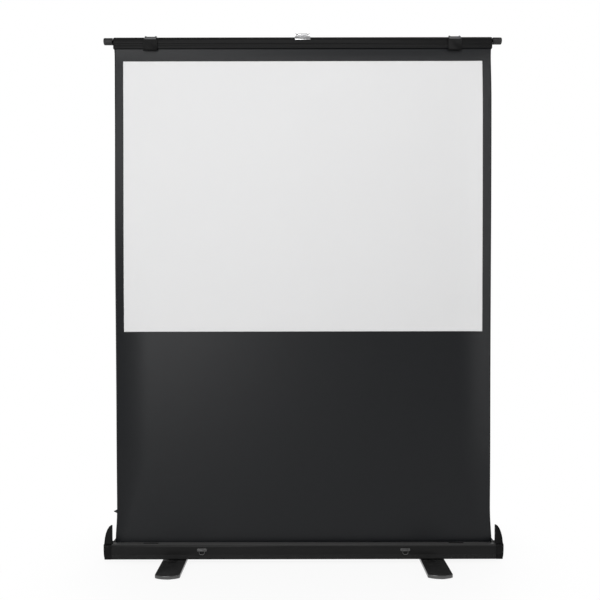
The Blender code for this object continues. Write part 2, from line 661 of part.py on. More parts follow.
# Roller: a tube on two plugs, with a torsion spring round a fixed arbor at its right end
def make_roller():
    body = body_at("roller_axis", at(0, ROLLER_Y, ROLLER_Z))
    flange_end = CASE_HALF + FIT - BOSS_LENGTH - FIT
    tube_half = flange_end - PLUG_FLANGE - FIT
    axis = at(0, ROLLER_Y, ROLLER_Z) @ SECTION
    outer = TUBE_RADIUS
    inner = TUBE_RADIUS - TUBE_WALL
    turned("roller_tube", [(outer, tube_half), (outer, -tube_half), (inner, -tube_half), (inner, tube_half)],
           axis, ALUMINIUM, body, ROUND_STEPS, closed=True)
    wrap = FABRIC_WIDTH / 2
    turned("fabric_roll",
           [(outer + FIT + FABRIC_ROLL_WALL, wrap), (outer + FIT + FABRIC_ROLL_WALL, -wrap),
            (outer + FIT, -wrap), (outer + FIT, wrap)], axis, FABRIC_BLACK, body, ROUND_STEPS, closed=True)
    plug = inner - FIT
    deep = tube_half - PLUG_DEPTH
    pin_end = CASE_HALF + FIT + OVERRUN / 2
    mirrored = at(0, ROLLER_Y, ROLLER_Z) @ SECTION @ Matrix.Rotation(pi, 4, 'X')
    turned("idle_plug",
           [(0, pin_end), (GUDGEON_RADIUS, pin_end), (GUDGEON_RADIUS, flange_end), (outer, flange_end),
            (outer, tube_half + FIT), (plug, tube_half + FIT), (plug, deep), (0, deep)],
           mirrored, NYLON, body, PIN_STEPS)
    turned("spring_plug",
           [(outer, flange_end), (outer, tube_half + FIT), (plug, tube_half + FIT), (plug, deep),
            (GUDGEON_RADIUS + FIT, deep), (GUDGEON_RADIUS + FIT, flange_end)],
           axis, NYLON, body, PIN_STEPS, closed=True)
    collar = deep - FIT - SPRING_LENGTH - FIT
    turned("spring_arbor",
           [(0, pin_end), (GUDGEON_RADIUS, pin_end), (GUDGEON_RADIUS, collar), (COLLAR_RADIUS, collar),
            (COLLAR_RADIUS, collar - COLLAR_LENGTH), (GUDGEON_RADIUS, collar - COLLAR_LENGTH),
            (GUDGEON_RADIUS, pin_end - ARBOR_REACH), (0, pin_end - ARBOR_REACH)],
           axis, STEEL, steps=PIN_STEPS)
    steps = SPRING_TURNS * SPRING_POINTS
    rise = (SPRING_LENGTH - 2 * SPRING_WIRE) / steps
    start = collar + FIT + SPRING_WIRE
    turns = [2 * pi * i / SPRING_POINTS for i in range(steps + 1)]
    coil = [(SPRING_RADIUS * cos(a), SPRING_RADIUS * sin(a), start + rise * i) for i, a in enumerate(turns)]
    tube_piece("torsion_spring", coil, SPRING_WIRE, axis, STEEL, resolution=1)
    print("torsion_spring least gap", round(rise * SPRING_POINTS - 2 * SPRING_WIRE, 5))


# Fabric: the black sheet from the roller to the bar, and the white layer on its face
def make_fabric():
    top = BAR_BOTTOM + clamp_floor() + CLAMP_WALL - FIT
    height = top - ROLLER_Z
    waist = (height - FABRIC_FLARE) / height
    side = [(FABRIC_WIDTH / 2 - draw_in(i / SIDE_STEPS), top - height * waist * i / SIDE_STEPS)
            for i in range(SIDE_STEPS + 1)]
    side += [(FABRIC_WIDTH / 2 - draw_in(1 - i / ARC_STEPS), ROLLER_Z + FABRIC_FLARE * (1 - i / ARC_STEPS))
             for i in range(1, ARC_STEPS + 1)]
    sheet = flat_mesh([side + [(-u, v) for u, v in side[::-1]]], FABRIC_THICKNESS)
    put("screen_fabric", sheet, at(0, FABRIC_Y + FABRIC_THICKNESS / 2, 0) @ FACE, FABRIC_BLACK)
    picture = block_mesh(IMAGE_WIDTH, VIEWING_THICKNESS, IMAGE_HEIGHT)
    picture_y = FABRIC_Y - FIT - VIEWING_THICKNESS / 2
    put("viewing_surface", picture, at(0, picture_y, DECK + DROP + IMAGE_HEIGHT / 2), MATTE_WHITE)


def draw_in(share):
    """How far a side of the fabric lies inside its full width, easing in from share 0 to the waist at 1."""
    return FABRIC_DRAW_IN * (1 - cos(pi * share)) / 2


def clamp_floor():
    """Underside of the hem clamp above the bar's lower edge."""
    return BAR_WALL_HEIGHT - FIT - 2 * (HEM_RADIUS + FIT) - 2 * CLAMP_WALL


# Top bar: a domed extrusion, open below, closed by a flat web over the scissor's rail
def bar_section():
    half = BAR_DEPTH / 2
    groove_low = BAR_BOTTOM + BAR_GROOVE_START
    groove_high = groove_low + BAR_GROOVE_WIDTH
    front = BAR_Y - half
    rear = BAR_Y + half
    dome = arc(BAR_Y, BAR_SHOULDER, half, 180, 0, 4 * ARC_STEPS, BAR_DOME)
    ceiling = CEILING
    depth = BAR_GROOVE_DEPTH
    outer = [(front, BAR_BOTTOM), (front, groove_low), (front + depth, groove_low + depth / 2),
             (front + depth, groove_high - depth / 2), (front, groove_high)]
    outer += dome
    outer += [(rear, BAR_BOTTOM), (rear - BAR_WALL, BAR_BOTTOM), (rear - BAR_WALL, ceiling),
              (front + BAR_WALL, ceiling), (front + BAR_WALL, groove_high + BAR_WALL),
              (front + BAR_WALL + depth, groove_high), (front + BAR_WALL + depth, groove_low),
              (front + BAR_WALL, groove_low - BAR_WALL), (front + BAR_WALL, BAR_BOTTOM)]
    cell = arc(BAR_Y, BAR_SHOULDER, half - BAR_WALL, 180, 0, 4 * ARC_STEPS, BAR_DOME - BAR_WALL)
    return [outer, cell]


def make_bar(body):
    put("top_bar", flat_mesh(bar_section(), 2 * BAR_HALF), SECTION, SATIN_BLACK, body)
    cover = [(BAR_Y - BAR_DEPTH / 2, BAR_BOTTOM)]
    cover += arc(BAR_Y, BAR_SHOULDER, BAR_DEPTH / 2, 180, 0, 4 * ARC_STEPS, BAR_DOME)
    cover += [(BAR_Y + BAR_DEPTH / 2, BAR_BOTTOM)]
    peg_z = BAR_BOTTOM + PEG_HEIGHT
    for side, sign in SIDES:
        face = sign * (BAR_HALF + FIT)
        cap = put("bar_cap_" + side, flat_mesh([cover], BAR_CAP),
                  at(face + sign * BAR_CAP / 2, 0, 0) @ SECTION, BLACK_MOULDED, body)
        stub_length = BAR_CAP / 2 + PEG_NECK + STUB_DEPTH
        stub = rod_mesh(STUB_RADIUS, stub_length)
        stub_x = face + sign * (BAR_CAP / 2 + stub_length / 2)
        boolean(cap, cutter("bar_stub_" + side, stub, at(stub_x, BAR_Y, peg_z) @ SECTION), 'UNION')
        start = BAR_HALF + FIT + BAR_CAP + PEG_NECK
        bore = STUB_DEPTH + FIT
        end = start + PEG_LENGTH
        profile = [(0, end)]
        profile += [(PEG_RADIUS - PEG_FILLET + u, end - PEG_FILLET + v)
                    for u, v in arc(0, 0, PEG_FILLET, 90, 0)]
        profile += [(PEG_RADIUS, start + CHAMFER_TRIM), (PEG_RADIUS - CHAMFER_TRIM, start),
                    (STUB_RADIUS + FIT, start), (STUB_RADIUS + FIT, start + bore), (0, start + bore)]
        turn = SECTION if sign > 0 else SECTION @ Matrix.Rotation(pi, 4, 'X')
        turned("bar_peg_" + side, profile, at(0, BAR_Y, peg_z) @ turn, RUBBER, body, ROUND_STEPS)
    low = BAR_BOTTOM + clamp_floor()
    high = CEILING - FIT
    half = HEM_RADIUS + FIT + CLAMP_WALL
    keyhole = arc(FABRIC_Y, high - CLAMP_WALL - HEM_RADIUS - FIT, HEM_RADIUS + FIT,
                  KEYHOLE_START, KEYHOLE_END, 3 * ARC_STEPS)
    clamp = [(FABRIC_Y - half, low), (FABRIC_Y - CLAMP_SLOT / 2, low)]
    clamp += keyhole[::-1]
    clamp += [(FABRIC_Y + CLAMP_SLOT / 2, low), (FABRIC_Y + half, low), (FABRIC_Y + half, high),
              (FABRIC_Y - half, high)]
    put("fabric_clamp", flat_mesh([clamp], 2 * BAR_HALF), SECTION, ALUMINIUM, body)
    rod_z = high - CLAMP_WALL - HEM_RADIUS - FIT
    put("hem_rod", rod_mesh(HEM_RADIUS, 2 * BAR_HALF), at(0, FABRIC_Y, rod_z) @ SECTION, STEEL, body)


# Clevises and shoes share one section: two cheeks either side of an arm's end
def clevis_section(seat, base_half, base):
    top = PIVOT_HEIGHT + CHEEK_ABOVE_PIVOT
    slot_floor = PIVOT_HEIGHT - ARM_WIDTH / 2 - CHEEK / 2
    return [(-base_half, seat), (base_half, seat), (base_half, seat + base), (CHEEK_HALF, seat + base),
            (CHEEK_HALF, top), (SLOT_HALF, top), (SLOT_HALF, slot_floor), (-SLOT_HALF, slot_floor),
            (-SLOT_HALF, top), (-CHEEK_HALF, top), (-CHEEK_HALF, seat + base), (-base_half, seat + base)]


def clevis(name, x, layer, seat_z, up, length, section, material, body):
    """A clevis on a seat at seat_z: up is 1 on a floor and -1 under a ceiling."""
    turn = Matrix.Identity(4) if up > 0 else Matrix.Rotation(pi, 4, 'X')
    place = at(x, layer, seat_z) @ turn
    piece = put(name, flat_mesh([section], length), place @ SECTION, material, body)
    hole = cutter(name + "_hole", rod_mesh(PIN_RADIUS + FIT, 2 * CHEEK_HALF + 2 * OVERRUN),
                  place @ at(0, 0, PIVOT_HEIGHT) @ FACE)
    boolean(piece, hole)
    top = PIVOT_HEIGHT + CHEEK_ABOVE_PIVOT
    corner = length / 2 * CHEEK_ROUND_SHARE
    side = filleted([(-length / 2, -OVERRUN, 0), (length / 2, -OVERRUN, 0),
                     (length / 2, top, corner), (-length / 2, top, corner)])
    boolean(piece, cutter(name + "_sides", flat_mesh([side], CLEVIS_LENGTH), place @ FACE), 'INTERSECT')
    return piece


def rail(name, layer, seat_z, up, material, body=None):
    half = RAIL_WIDTH / 2
    wall = RAIL_WALL
    lip = half - wall - RAIL_LIP
    section = [(-half, 0), (half, 0), (half, RAIL_HEIGHT), (lip, RAIL_HEIGHT), (lip, RAIL_HEIGHT - wall),
               (half - wall, RAIL_HEIGHT - wall), (half - wall, wall), (-half + wall, wall),
               (-half + wall, RAIL_HEIGHT - wall), (-lip, RAIL_HEIGHT - wall), (-lip, RAIL_HEIGHT),
               (-half, RAIL_HEIGHT)]
    reach = SHOE_LENGTH / 2 + RAIL_OVERTRAVEL
    start = SLIDING_PIVOT_X - reach
    end = STOWED_PIVOT_X + reach
    turn = Matrix.Identity(4) if up > 0 else Matrix.Rotation(pi, 4, 'X')
    put(name, flat_mesh([section], end - start), at((start + end) / 2, layer, seat_z) @ turn @ SECTION,
        material, body)


def pin(name, x, y, z, grip, body):
    """A headed pin along Y that grips a stack of the given depth, centred on y."""
    half = grip / 2 + FIT
    profile = [(0, half + PIN_HEAD), (PIN_HEAD_RADIUS - PIN_EDGE, half + PIN_HEAD),
               (PIN_HEAD_RADIUS, half + PIN_HEAD - PIN_EDGE), (PIN_HEAD_RADIUS, half), (PIN_RADIUS, half),
               (PIN_RADIUS, -half), (PIN_HEAD_RADIUS, -half), (PIN_HEAD_RADIUS, PIN_EDGE - half - PIN_HEAD),
               (PIN_HEAD_RADIUS - PIN_EDGE, -half - PIN_HEAD), (0, -half - PIN_HEAD)]
    return turned(name, profile, at(x, y, z) @ FACE, STEEL, body)


def friction_disc(name, x, z, body):
    half = LAYER_GAP / 2 - FIT
    turned(name, [(FRICTION_RADIUS, half), (FRICTION_RADIUS, -half), (PIN_RADIUS + FIT, -half),
                  (PIN_RADIUS + FIT, half)], at(x, SCISSOR_Y, z) @ FACE, NYLON, body, closed=True)


def arm(name, layer, body, start=0.0, start_room=0.0):
    """A flat arm along its body's local X, with a hole at each end and one in the middle."""
    radius = ARM_WIDTH / 2
    end = start + ARM_PITCH
    outline = arc(end, 0, radius, -90, 90, 2 * ARC_STEPS) + arc(start, 0, radius, 90, 270, 2 * ARC_STEPS)
    hole = PIN_RADIUS + FIT
    holes = [ring(hole + start_room, start), ring(hole, (start + end) / 2), ring(hole, end)]
    place = world(body) @ at(0, layer - SCISSOR_Y, 0) @ FACE
    put(name, flat_mesh([outline] + holes, ARM_THICKNESS), place, PAINTED_STEEL, body)


# Scissor: the fixed pivots stand at the left, the shoes slide at the right
def make_scissor():
    mid_z = BASE_PIVOT + STAGE
    middle_x = (FIXED_PIVOT_X + SLIDING_PIVOT_X) / 2
    raised = Matrix.Rotation(-OPEN_ANGLE, 4, 'Y')
    folded = Matrix.Rotation(OPEN_ANGLE - pi, 4, 'Y')
    lower_front = body_at("lift_axis", at(FIXED_PIVOT_X, SCISSOR_Y, BASE_PIVOT) @ raised)
    lower_rear = body_at("lower_cross_axis", at(middle_x, SCISSOR_Y, BASE_PIVOT + STAGE / 2) @ folded,
                         lower_front)
    upper_rear = body_at("right_elbow_axis", at(SLIDING_PIVOT_X, SCISSOR_Y, mid_z) @ folded, lower_front)
    upper_front = body_at("upper_cross_axis", at(middle_x, SCISSOR_Y, mid_z + STAGE / 2) @ raised,
                          upper_rear)
    bar = body_at("top_pivot_axis", at(FIXED_PIVOT_X, SCISSOR_Y, TOP_PIVOT), upper_rear)
    arm("lower_arm_front", FRONT_LAYER, lower_front)
    arm("lower_arm_rear", REAR_LAYER, lower_rear, start=-ARM_PITCH / 2)
    arm("upper_arm_rear", REAR_LAYER, upper_rear)
    arm("upper_arm_front", FRONT_LAYER, upper_front, start=-ARM_PITCH / 2, start_room=ELBOW_ROOM)
    joints = (("lower_cross", middle_x, BASE_PIVOT + STAGE / 2, lower_front),
              ("right_elbow", SLIDING_PIVOT_X, mid_z, lower_front),
              ("left_elbow", FIXED_PIVOT_X, mid_z, lower_rear),
              ("upper_cross", middle_x, mid_z + STAGE / 2, upper_rear))
    for name, x, z, body in joints:
        pin(name + "_pin", x, SCISSOR_Y, z, LAYERS_DEPTH, body)
        friction_disc(name + "_disc", x, z, body)
    grip = 2 * CHEEK_HALF
    base_half = RAIL_WIDTH / 2 - RAIL_WALL - FIT
    fixed = clevis_section(0, base_half, CLEVIS_BASE)
    shoe = clevis_section(RAIL_WALL + FIT, base_half, SHOE_SKID)
    lower_shoe = body_at("lower_shoe_axis", at(SLIDING_PIVOT_X, SCISSOR_Y, BASE_PIVOT), lower_rear)
    upper_shoe = body_at("upper_shoe_axis", at(SLIDING_PIVOT_X, SCISSOR_Y, TOP_PIVOT), upper_front)
    clevis("base_bracket", FIXED_PIVOT_X, FRONT_LAYER, SEAT, 1, CLEVIS_LENGTH, fixed, STEEL, None)
    clevis("lower_shoe", SLIDING_PIVOT_X, REAR_LAYER, SEAT, 1, SHOE_LENGTH, shoe, NYLON, lower_shoe)
    clevis("top_bracket", FIXED_PIVOT_X, REAR_LAYER, CEILING - FIT, -1, CLEVIS_LENGTH, fixed, STEEL, bar)
    clevis("upper_shoe", SLIDING_PIVOT_X, FRONT_LAYER, CEILING - FIT, -1, SHOE_LENGTH, shoe, NYLON,
           upper_shoe)
    pin("base_pivot_pin", FIXED_PIVOT_X, FRONT_LAYER, BASE_PIVOT, grip, None)
    pin("lower_shoe_pin", SLIDING_PIVOT_X, REAR_LAYER, BASE_PIVOT, grip, lower_shoe)
    pin("top_pivot_pin", FIXED_PIVOT_X, REAR_LAYER, TOP_PIVOT, grip, bar)
    pin("upper_shoe_pin", SLIDING_PIVOT_X, FRONT_LAYER, TOP_PIVOT, grip, upper_shoe)
    rail("lower_rail", REAR_LAYER, SEAT, 1, STEEL)
    rail("upper_rail", FRONT_LAYER, CEILING - FIT, -1, STEEL, bar)
    return bar


# Pull handle on the crown of the bar: a saddle plate with two ears and a hinged bail
def make_handle(bar):
    pivot_z = BAR_CROWN + HANDLE_PIVOT_RISE
    half = BAR_DEPTH / 2 + FIT
    dome = BAR_DOME + FIT
    under = arc(BAR_Y, BAR_SHOULDER, half, HANDLE_FRONT_ANGLE, HANDLE_REAR_ANGLE, 3 * ARC_STEPS, dome)
    over = arc(BAR_Y, BAR_SHOULDER, half + HANDLE_PLATE, HANDLE_REAR_ANGLE, HANDLE_FRONT_ANGLE,
               3 * ARC_STEPS, dome + HANDLE_PLATE)
    base = put("handle_base", flat_mesh([under + over], HANDLE_WIDTH), SECTION, CHROME, bar)
    plate_z = BAR_CROWN + FIT + HANDLE_PLATE / 2
    ear_x = HANDLE_WIDTH / 2 - HANDLE_EAR
    for side, sign in SIDES:
        ear = [(BAR_Y - HANDLE_EAR_RADIUS, plate_z), (BAR_Y + HANDLE_EAR_RADIUS, plate_z)]
        ear += arc(BAR_Y, pivot_z, HANDLE_EAR_RADIUS, 0, 180, 2 * ARC_STEPS)
        boolean(base, cutter("handle_ear_" + side, flat_mesh([ear], HANDLE_EAR),
                             at(sign * ear_x, 0, 0) @ SECTION), 'UNION')
    bore = rod_mesh(BAIL_RADIUS + FIT, HANDLE_WIDTH + 2 * OVERRUN)
    boolean(base, cutter("handle_bore", bore, at(0, BAR_Y, pivot_z) @ SECTION))
    body = body_at("bail_axis", at(0, BAR_Y, pivot_z), bar)
    inner = ear_x - HANDLE_EAR / 2 - BAIL_RADIUS - FIT
    outer_end = ear_x + HANDLE_EAR / 2
    bend = filleted([(-outer_end, 0, 0), (-inner, 0, BAIL_FOOT_CORNER), (-inner, BAIL_DEPTH, BAIL_CORNER),
                     (inner, BAIL_DEPTH, BAIL_CORNER), (inner, 0, BAIL_FOOT_CORNER), (outer_end, 0, 0)],
                    closed=False)
    place = at(0, BAR_Y, pivot_z) @ Matrix.Rotation(radians(180 + BAIL_TILT), 4, 'X')
    bail = tube_piece("handle_bail", [(u, v, 0) for u, v in bend], BAIL_RADIUS, place, CHROME, body)
    grip = cutter("bail_grip", rod_mesh(GRIP_RADIUS, GRIP_LENGTH), place @ at(0, BAIL_DEPTH, 0) @ SECTION)
    boolean(bail, grip, 'UNION')


# Latches: a black hook on the bar's front that drops into the case, and the grey tab hinged above it
def make_latches(bar):
    face = BAR_FRONT - FIT
    outer = face - LATCH_PLATE
    top = BAR_BOTTOM + LATCH_TOP
    hook = BAR_BOTTOM - LATCH_HOOK_DROP
    pivot_y = face - LATCH_PIVOT_OUT
    pivot_z = BAR_BOTTOM + LATCH_PIVOT_HEIGHT
    lug_top = pivot_z + TAB_KNUCKLE
    section = [(face, hook), (face, top)]
    section += [(pivot_y + TAB_KNUCKLE / 2, lug_top - TAB_KNUCKLE / 2), (pivot_y, lug_top),
                (outer, pivot_z), (outer, hook + LATCH_NOSE_HEIGHT), (outer - LATCH_NOSE, hook + LATCH_NOSE),
                (outer, hook)]
    knuckle_half = LATCH_WIDTH / 2 - LATCH_LUG - FIT
    half = BAR_DEPTH / 2 + TAB_LIFT
    dome = BAR_DOME + TAB_LIFT
    first = 180 - TAB_START_ANGLE
    last = 180 - TAB_END_ANGLE
    tab_outline = arc(BAR_Y, BAR_SHOULDER, half, last, first, 2 * ARC_STEPS, dome)
    tab_outline += arc(pivot_y, pivot_z, TAB_KNUCKLE, TAB_WRAP_START, TAB_WRAP_END, 3 * ARC_STEPS)
    tab_outline += arc(BAR_Y, BAR_SHOULDER, half + TAB_THICKNESS, first - TAB_HEEL_ANGLE, last,
                       2 * ARC_STEPS, dome + TAB_THICKNESS)
    tab_loops = [tab_outline, ring(LATCH_PIN_RADIUS + FIT, pivot_y, pivot_z)]
    core = TAB_THICKNESS / 2
    thick = TAB_THICKNESS + TAB_RIB_RISE
    rib_first = first - TAB_RIB_HEEL
    rib_last = last + TAB_RIB_TOE
    rib_outline = arc(BAR_Y, BAR_SHOULDER, half + core, rib_last, rib_first, ARC_STEPS, dome + core)
    rib_outline += arc(BAR_Y, BAR_SHOULDER, half + thick, rib_first, rib_last, ARC_STEPS, dome + thick)
    for side, sign in SIDES:
        x = sign * LATCH_X
        latch = put("latch_body_" + side, flat_mesh([section], LATCH_WIDTH), at(x, 0, 0) @ SECTION,
                    BLACK_MOULDED, bar)
        gap_height = 2 * TAB_KNUCKLE + 2 * FIT
        notch = block_mesh(2 * (knuckle_half + FIT), 2 * BAR_DEPTH, gap_height)
        boolean(latch, cutter("latch_notch_" + side, notch,
                              at(x, pivot_y, pivot_z - TAB_KNUCKLE - FIT + gap_height / 2)))
        rod = rod_mesh(LATCH_PIN_RADIUS, LATCH_WIDTH - LATCH_LUG)
        boolean(latch, cutter("latch_pin_" + side, rod, at(x, pivot_y, pivot_z) @ SECTION), 'UNION')
        body = body_at("latch_axis_" + side, at(x, pivot_y, pivot_z), bar)
        tab = put("latch_tab_" + side, flat_mesh(tab_loops, 2 * knuckle_half), at(x, 0, 0) @ SECTION,
                  GREY_TAB, body)
        for k, end in ((-1, "outer"), (1, "inner")):
            rib_x = x - sign * k * (knuckle_half - TAB_RIB / 2 - CHAMFER_TRIM)
            rib = flat_mesh([rib_outline], TAB_RIB)
            boolean(tab, cutter("tab_rib_%s_%s" % (end, side), rib, at(rib_x, 0, 0) @ SECTION), 'UNION')


# Strap rings: a dark steel plate with two domed rivets and a wire ring hinged in its lugs
def make_strap_rings():
    face = -CASE_DEPTH / 2 - FIT
    pivot_z = CASE_FLOOR + STRAP_HEIGHT
    plate_front = face - STRAP_PLATE
    pivot_y = plate_front - STRAP_LUG_RADIUS
    rivet_y = plate_front - (RIVET_DOME - STRAP_PLATE / 2)
    for side, sign in SIDES:
        x = sign * STRAP_X
        plate = put("strap_plate_" + side,
                    flat_mesh([rectangle(STRAP_WIDTH, STRAP_PLATE_HEIGHT, STRAP_LUG)], STRAP_PLATE),
                    at(x, face - STRAP_PLATE / 2, pivot_z) @ FACE, DARK_STEEL)
        for k in (-1, 1):
            rivet = bpy.data.meshes.new("rivet")
            shape = bmesh.new()
            bmesh.ops.create_uvsphere(shape, u_segments=RIVET_STEPS, v_segments=RIVET_STEPS // 2,
                                      radius=RIVET_RADIUS)
            shape.to_mesh(rivet)
            shape.free()
            squash = Matrix.Diagonal((1, RIVET_DOME / RIVET_RADIUS, 1, 1))
            rivet.transform(squash)
            tool = cutter("strap_rivet_%s_%d" % (side, k), rivet,
                          at(x + k * RIVET_SPACING / 2, rivet_y, pivot_z))
            boolean(plate, tool, 'UNION')
        body = body_at("ring_axis_" + side, at(x, pivot_y, pivot_z))
        ring_half = RING_WIDTH / 2
        loop = filleted([(-ring_half, 0, RING_TOP_CORNER), (-ring_half, -RING_DROP, RING_CORNER),
                         (ring_half, -RING_DROP, RING_CORNER), (ring_half, 0, RING_TOP_CORNER)])
        tube_piece("strap_ring_" + side, [(u, 0, v) for u, v in loop], RING_WIRE,
                   at(x, pivot_y, pivot_z), DARK_STEEL, body, cyclic=True)
        lug = [(plate_front + STRAP_PLATE / 2, pivot_z + STRAP_LUG_RADIUS)]
        lug += arc(pivot_y, pivot_z, STRAP_LUG_RADIUS, 90, 270, 2 * ARC_STEPS)
        lug += [(plate_front + STRAP_PLATE / 2, pivot_z - STRAP_LUG_RADIUS)]
        loop_width = RING_WIDTH / 2
        boolean(plate, cutter("strap_lug_" + side, flat_mesh([lug], loop_width), at(x, 0, 0) @ SECTION),
                'UNION')
        bore = rod_mesh(RING_WIRE + FIT, 2 * loop_width)
        boolean(plate, cutter("strap_bore_" + side, bore, at(x, pivot_y, pivot_z) @ SECTION))


PARTS, CUTTERS = empty_scene()
BLACK_GLOSS = finish("black_gloss", (0.012, 0.012, 0.013), 0.22)
SATIN_BLACK = finish("satin_black", (0.018, 0.018, 0.019), 0.38)
FOOT_BLACK = finish("foot_black", (0.02, 0.02, 0.021), 0.3)
BLACK_MOULDED = finish("black_moulded", (0.016, 0.016, 0.017), 0.42)
PAINTED_STEEL = finish("painted_steel", (0.02, 0.02, 0.021), 0.45, 0.2)
FABRIC_BLACK = finish("fabric_black", (0.027, 0.027, 0.029), 0.85)
MATTE_WHITE = finish("matte_white", (0.75, 0.75, 0.74), 0.9)
RUBBER = finish("rubber", (0.03, 0.03, 0.03), 0.75)
NYLON = finish("nylon", (0.05, 0.05, 0.05), 0.5)
STEEL = finish("steel", (0.5, 0.5, 0.5), 0.35, 1.0)
ALUMINIUM = finish("aluminium", (0.6, 0.6, 0.61), 0.4, 1.0)
CHROME = finish("chrome", (0.78, 0.78, 0.79), 0.12, 1.0)
DARK_STEEL = finish("dark_steel", (0.16, 0.16, 0.16), 0.3, 1.0)
GREY_TAB = finish("grey_tab", (0.16, 0.16, 0.17), 0.45)

make_case()
make_end_caps()
make_feet()
make_roller()
make_fabric()
BAR = make_scissor()
make_bar(BAR)
make_handle(BAR)
make_latches(BAR)
make_strap_rings()
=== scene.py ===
# Pull-up projection screen in its studio: finishes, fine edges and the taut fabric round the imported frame.
# Sizes are in metres, lamp power in watts, and angles in radians where no note says degrees.
import json
from math import cos, pi, radians, sin

import bmesh
import bpy
from mathutils import Matrix, Vector


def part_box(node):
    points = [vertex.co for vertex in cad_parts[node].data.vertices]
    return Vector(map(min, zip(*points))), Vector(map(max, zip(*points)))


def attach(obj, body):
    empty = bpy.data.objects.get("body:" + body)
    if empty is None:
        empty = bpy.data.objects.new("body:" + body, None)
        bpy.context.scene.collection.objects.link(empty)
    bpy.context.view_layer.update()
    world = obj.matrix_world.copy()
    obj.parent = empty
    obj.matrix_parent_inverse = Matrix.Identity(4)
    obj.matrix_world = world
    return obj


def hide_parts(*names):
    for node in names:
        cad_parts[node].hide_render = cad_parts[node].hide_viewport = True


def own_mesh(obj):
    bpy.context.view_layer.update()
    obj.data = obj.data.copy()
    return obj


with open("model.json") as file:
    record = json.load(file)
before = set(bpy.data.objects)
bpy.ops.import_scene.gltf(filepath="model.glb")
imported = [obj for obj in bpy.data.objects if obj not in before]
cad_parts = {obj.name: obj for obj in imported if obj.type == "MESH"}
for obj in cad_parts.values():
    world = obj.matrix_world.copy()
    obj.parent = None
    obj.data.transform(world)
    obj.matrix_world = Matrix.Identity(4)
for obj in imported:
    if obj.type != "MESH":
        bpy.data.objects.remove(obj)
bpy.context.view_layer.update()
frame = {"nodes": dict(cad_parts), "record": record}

nodes = frame["nodes"]
slotOf = {part["node"]: part["material_slot"] for part in frame["record"]["subparts"]}
bodyOf = {node: body for body, group in frame["record"]["behaviour"]["bodies"].items() for node in group}
print("frame loaded:", len(nodes), "nodes")


# Shader nodes written as sums
class Wire:
    # one output of a shader node
    def __init__(self, graph, socket):
        self.graph = graph
        self.socket = socket

    def maths(self, operation, a, b):
        return self.graph.node("Math", {"operation": operation}, {0: a, 1: b})

    def __add__(self, other):
        return self.maths("ADD", self, other)

    def __radd__(self, other):
        return self.maths("ADD", other, self)

    def __sub__(self, other):
        return self.maths("SUBTRACT", self, other)

    def __rsub__(self, other):
        return self.maths("SUBTRACT", other, self)

    def __mul__(self, other):
        return self.maths("MULTIPLY", self, other)

    def __rmul__(self, other):
        return self.maths("MULTIPLY", other, self)


class Graph:
    # one node tree, with a short way to add its nodes
    def __init__(self, tree):
        self.tree = tree

    def node(self, kind, settings=None, values=None, output=0):
        made = self.tree.nodes.new("ShaderNode" + kind)
        for key, value in (settings or {}).items():
            setattr(made, key, value)
        for key, value in (values or {}).items():
            self.feed(made.inputs[key], value)
        return Wire(self, made.outputs[output])

    def feed(self, socket, value):
        if isinstance(value, Wire):
            self.tree.links.new(value.socket, socket)
        else:
            socket.default_value = value


class Finish(Graph):
    # one material; shine is the strength of its clear reflection, 0.5 for plain paint or plastic
    def __init__(self, name, look):
        self.material = bpy.data.materials.new(name)
        self.material.use_nodes = True
        super().__init__(self.material.node_tree)
        self.surface = self.tree.nodes["Principled BSDF"]
        self.look = {"metallic": 0.0, "shine": 0.5, **look}
        self.set("Base Color", (*self.look["colour"], 1))
        self.set("Roughness", self.look["roughness"])
        self.set("Metallic", self.look["metallic"])
        self.set("Specular IOR Level", self.look["shine"])

    def set(self, name, value):
        self.feed(self.surface.inputs[name], value)

    # cloudy pattern from 0 to 1, from its patches per metre along X, Y and Z and its depth of detail
    def clouds(self, patches, detail):
        place = self.node("TexCoord", output="Object")
        scaled = self.node("Mapping", None, {"Vector": place, "Scale": patches})
        return self.node("TexNoise", None, {"Vector": scaled, "Scale": 1.0, "Detail": detail})

    # sine ridges from -1 to 1 across one axis, one each pitch
    def ridges(self, axis, pitch):
        along = self.node("SeparateXYZ", None, {0: self.node("TexCoord", output="Object")}, output=axis)
        return self.node("Math", {"operation": "SINE"}, {0: along * (2 * pi / pitch)})

    # sockets 6 and 7 are the Mix node's two colours, and its output 2 the mixed one
    def tint(self, factor, a, b):
        a, b = (colour if isinstance(colour, Wire) else (*colour, 1) for colour in (a, b))
        return self.node("Mix", {"data_type": "RGBA"}, {0: factor, 6: a, 7: b}, output=2)

    def bump(self, height, depth):
        self.set("Normal", self.node("Bump", None, {"Height": height, "Distance": depth}))

    # the colour drifts by a share of itself either way with a pattern, and the roughness over its spread
    def vary(self, pattern):
        shade = self.look["shade"]
        darker = [part * (1 - shade) for part in self.look["colour"]]
        lighter = [part * (1 + shade) for part in self.look["colour"]]
        self.set("Base Color", self.tint(pattern, darker, lighter))
        self.set("Roughness", (pattern - 0.5) * self.look["spread"] + self.look["roughness"])

    # painted light: faces that point up are tinted paler, a painted highlight standing in for light falling
    # from above
    def paintedTopLight(self, paintedLightColour):
        up = self.node("SeparateXYZ", None, {0: self.node("NewGeometry", output="Normal")}, output="Z")
        bare = Wire(self, self.surface.inputs["Base Color"].links[0].from_socket)
        self.set("Base Color", self.tint(up * up * up, bare, paintedLightColour))


# Finishes. Drift and relief hold the arguments of clouds, and depth is the relief's height.
def clouded(name, look):
    made = Finish(name, look)
    made.vary(made.clouds(*look["drift"]))
    made.bump(made.clouds(*look["relief"]), look["depth"])
    return made


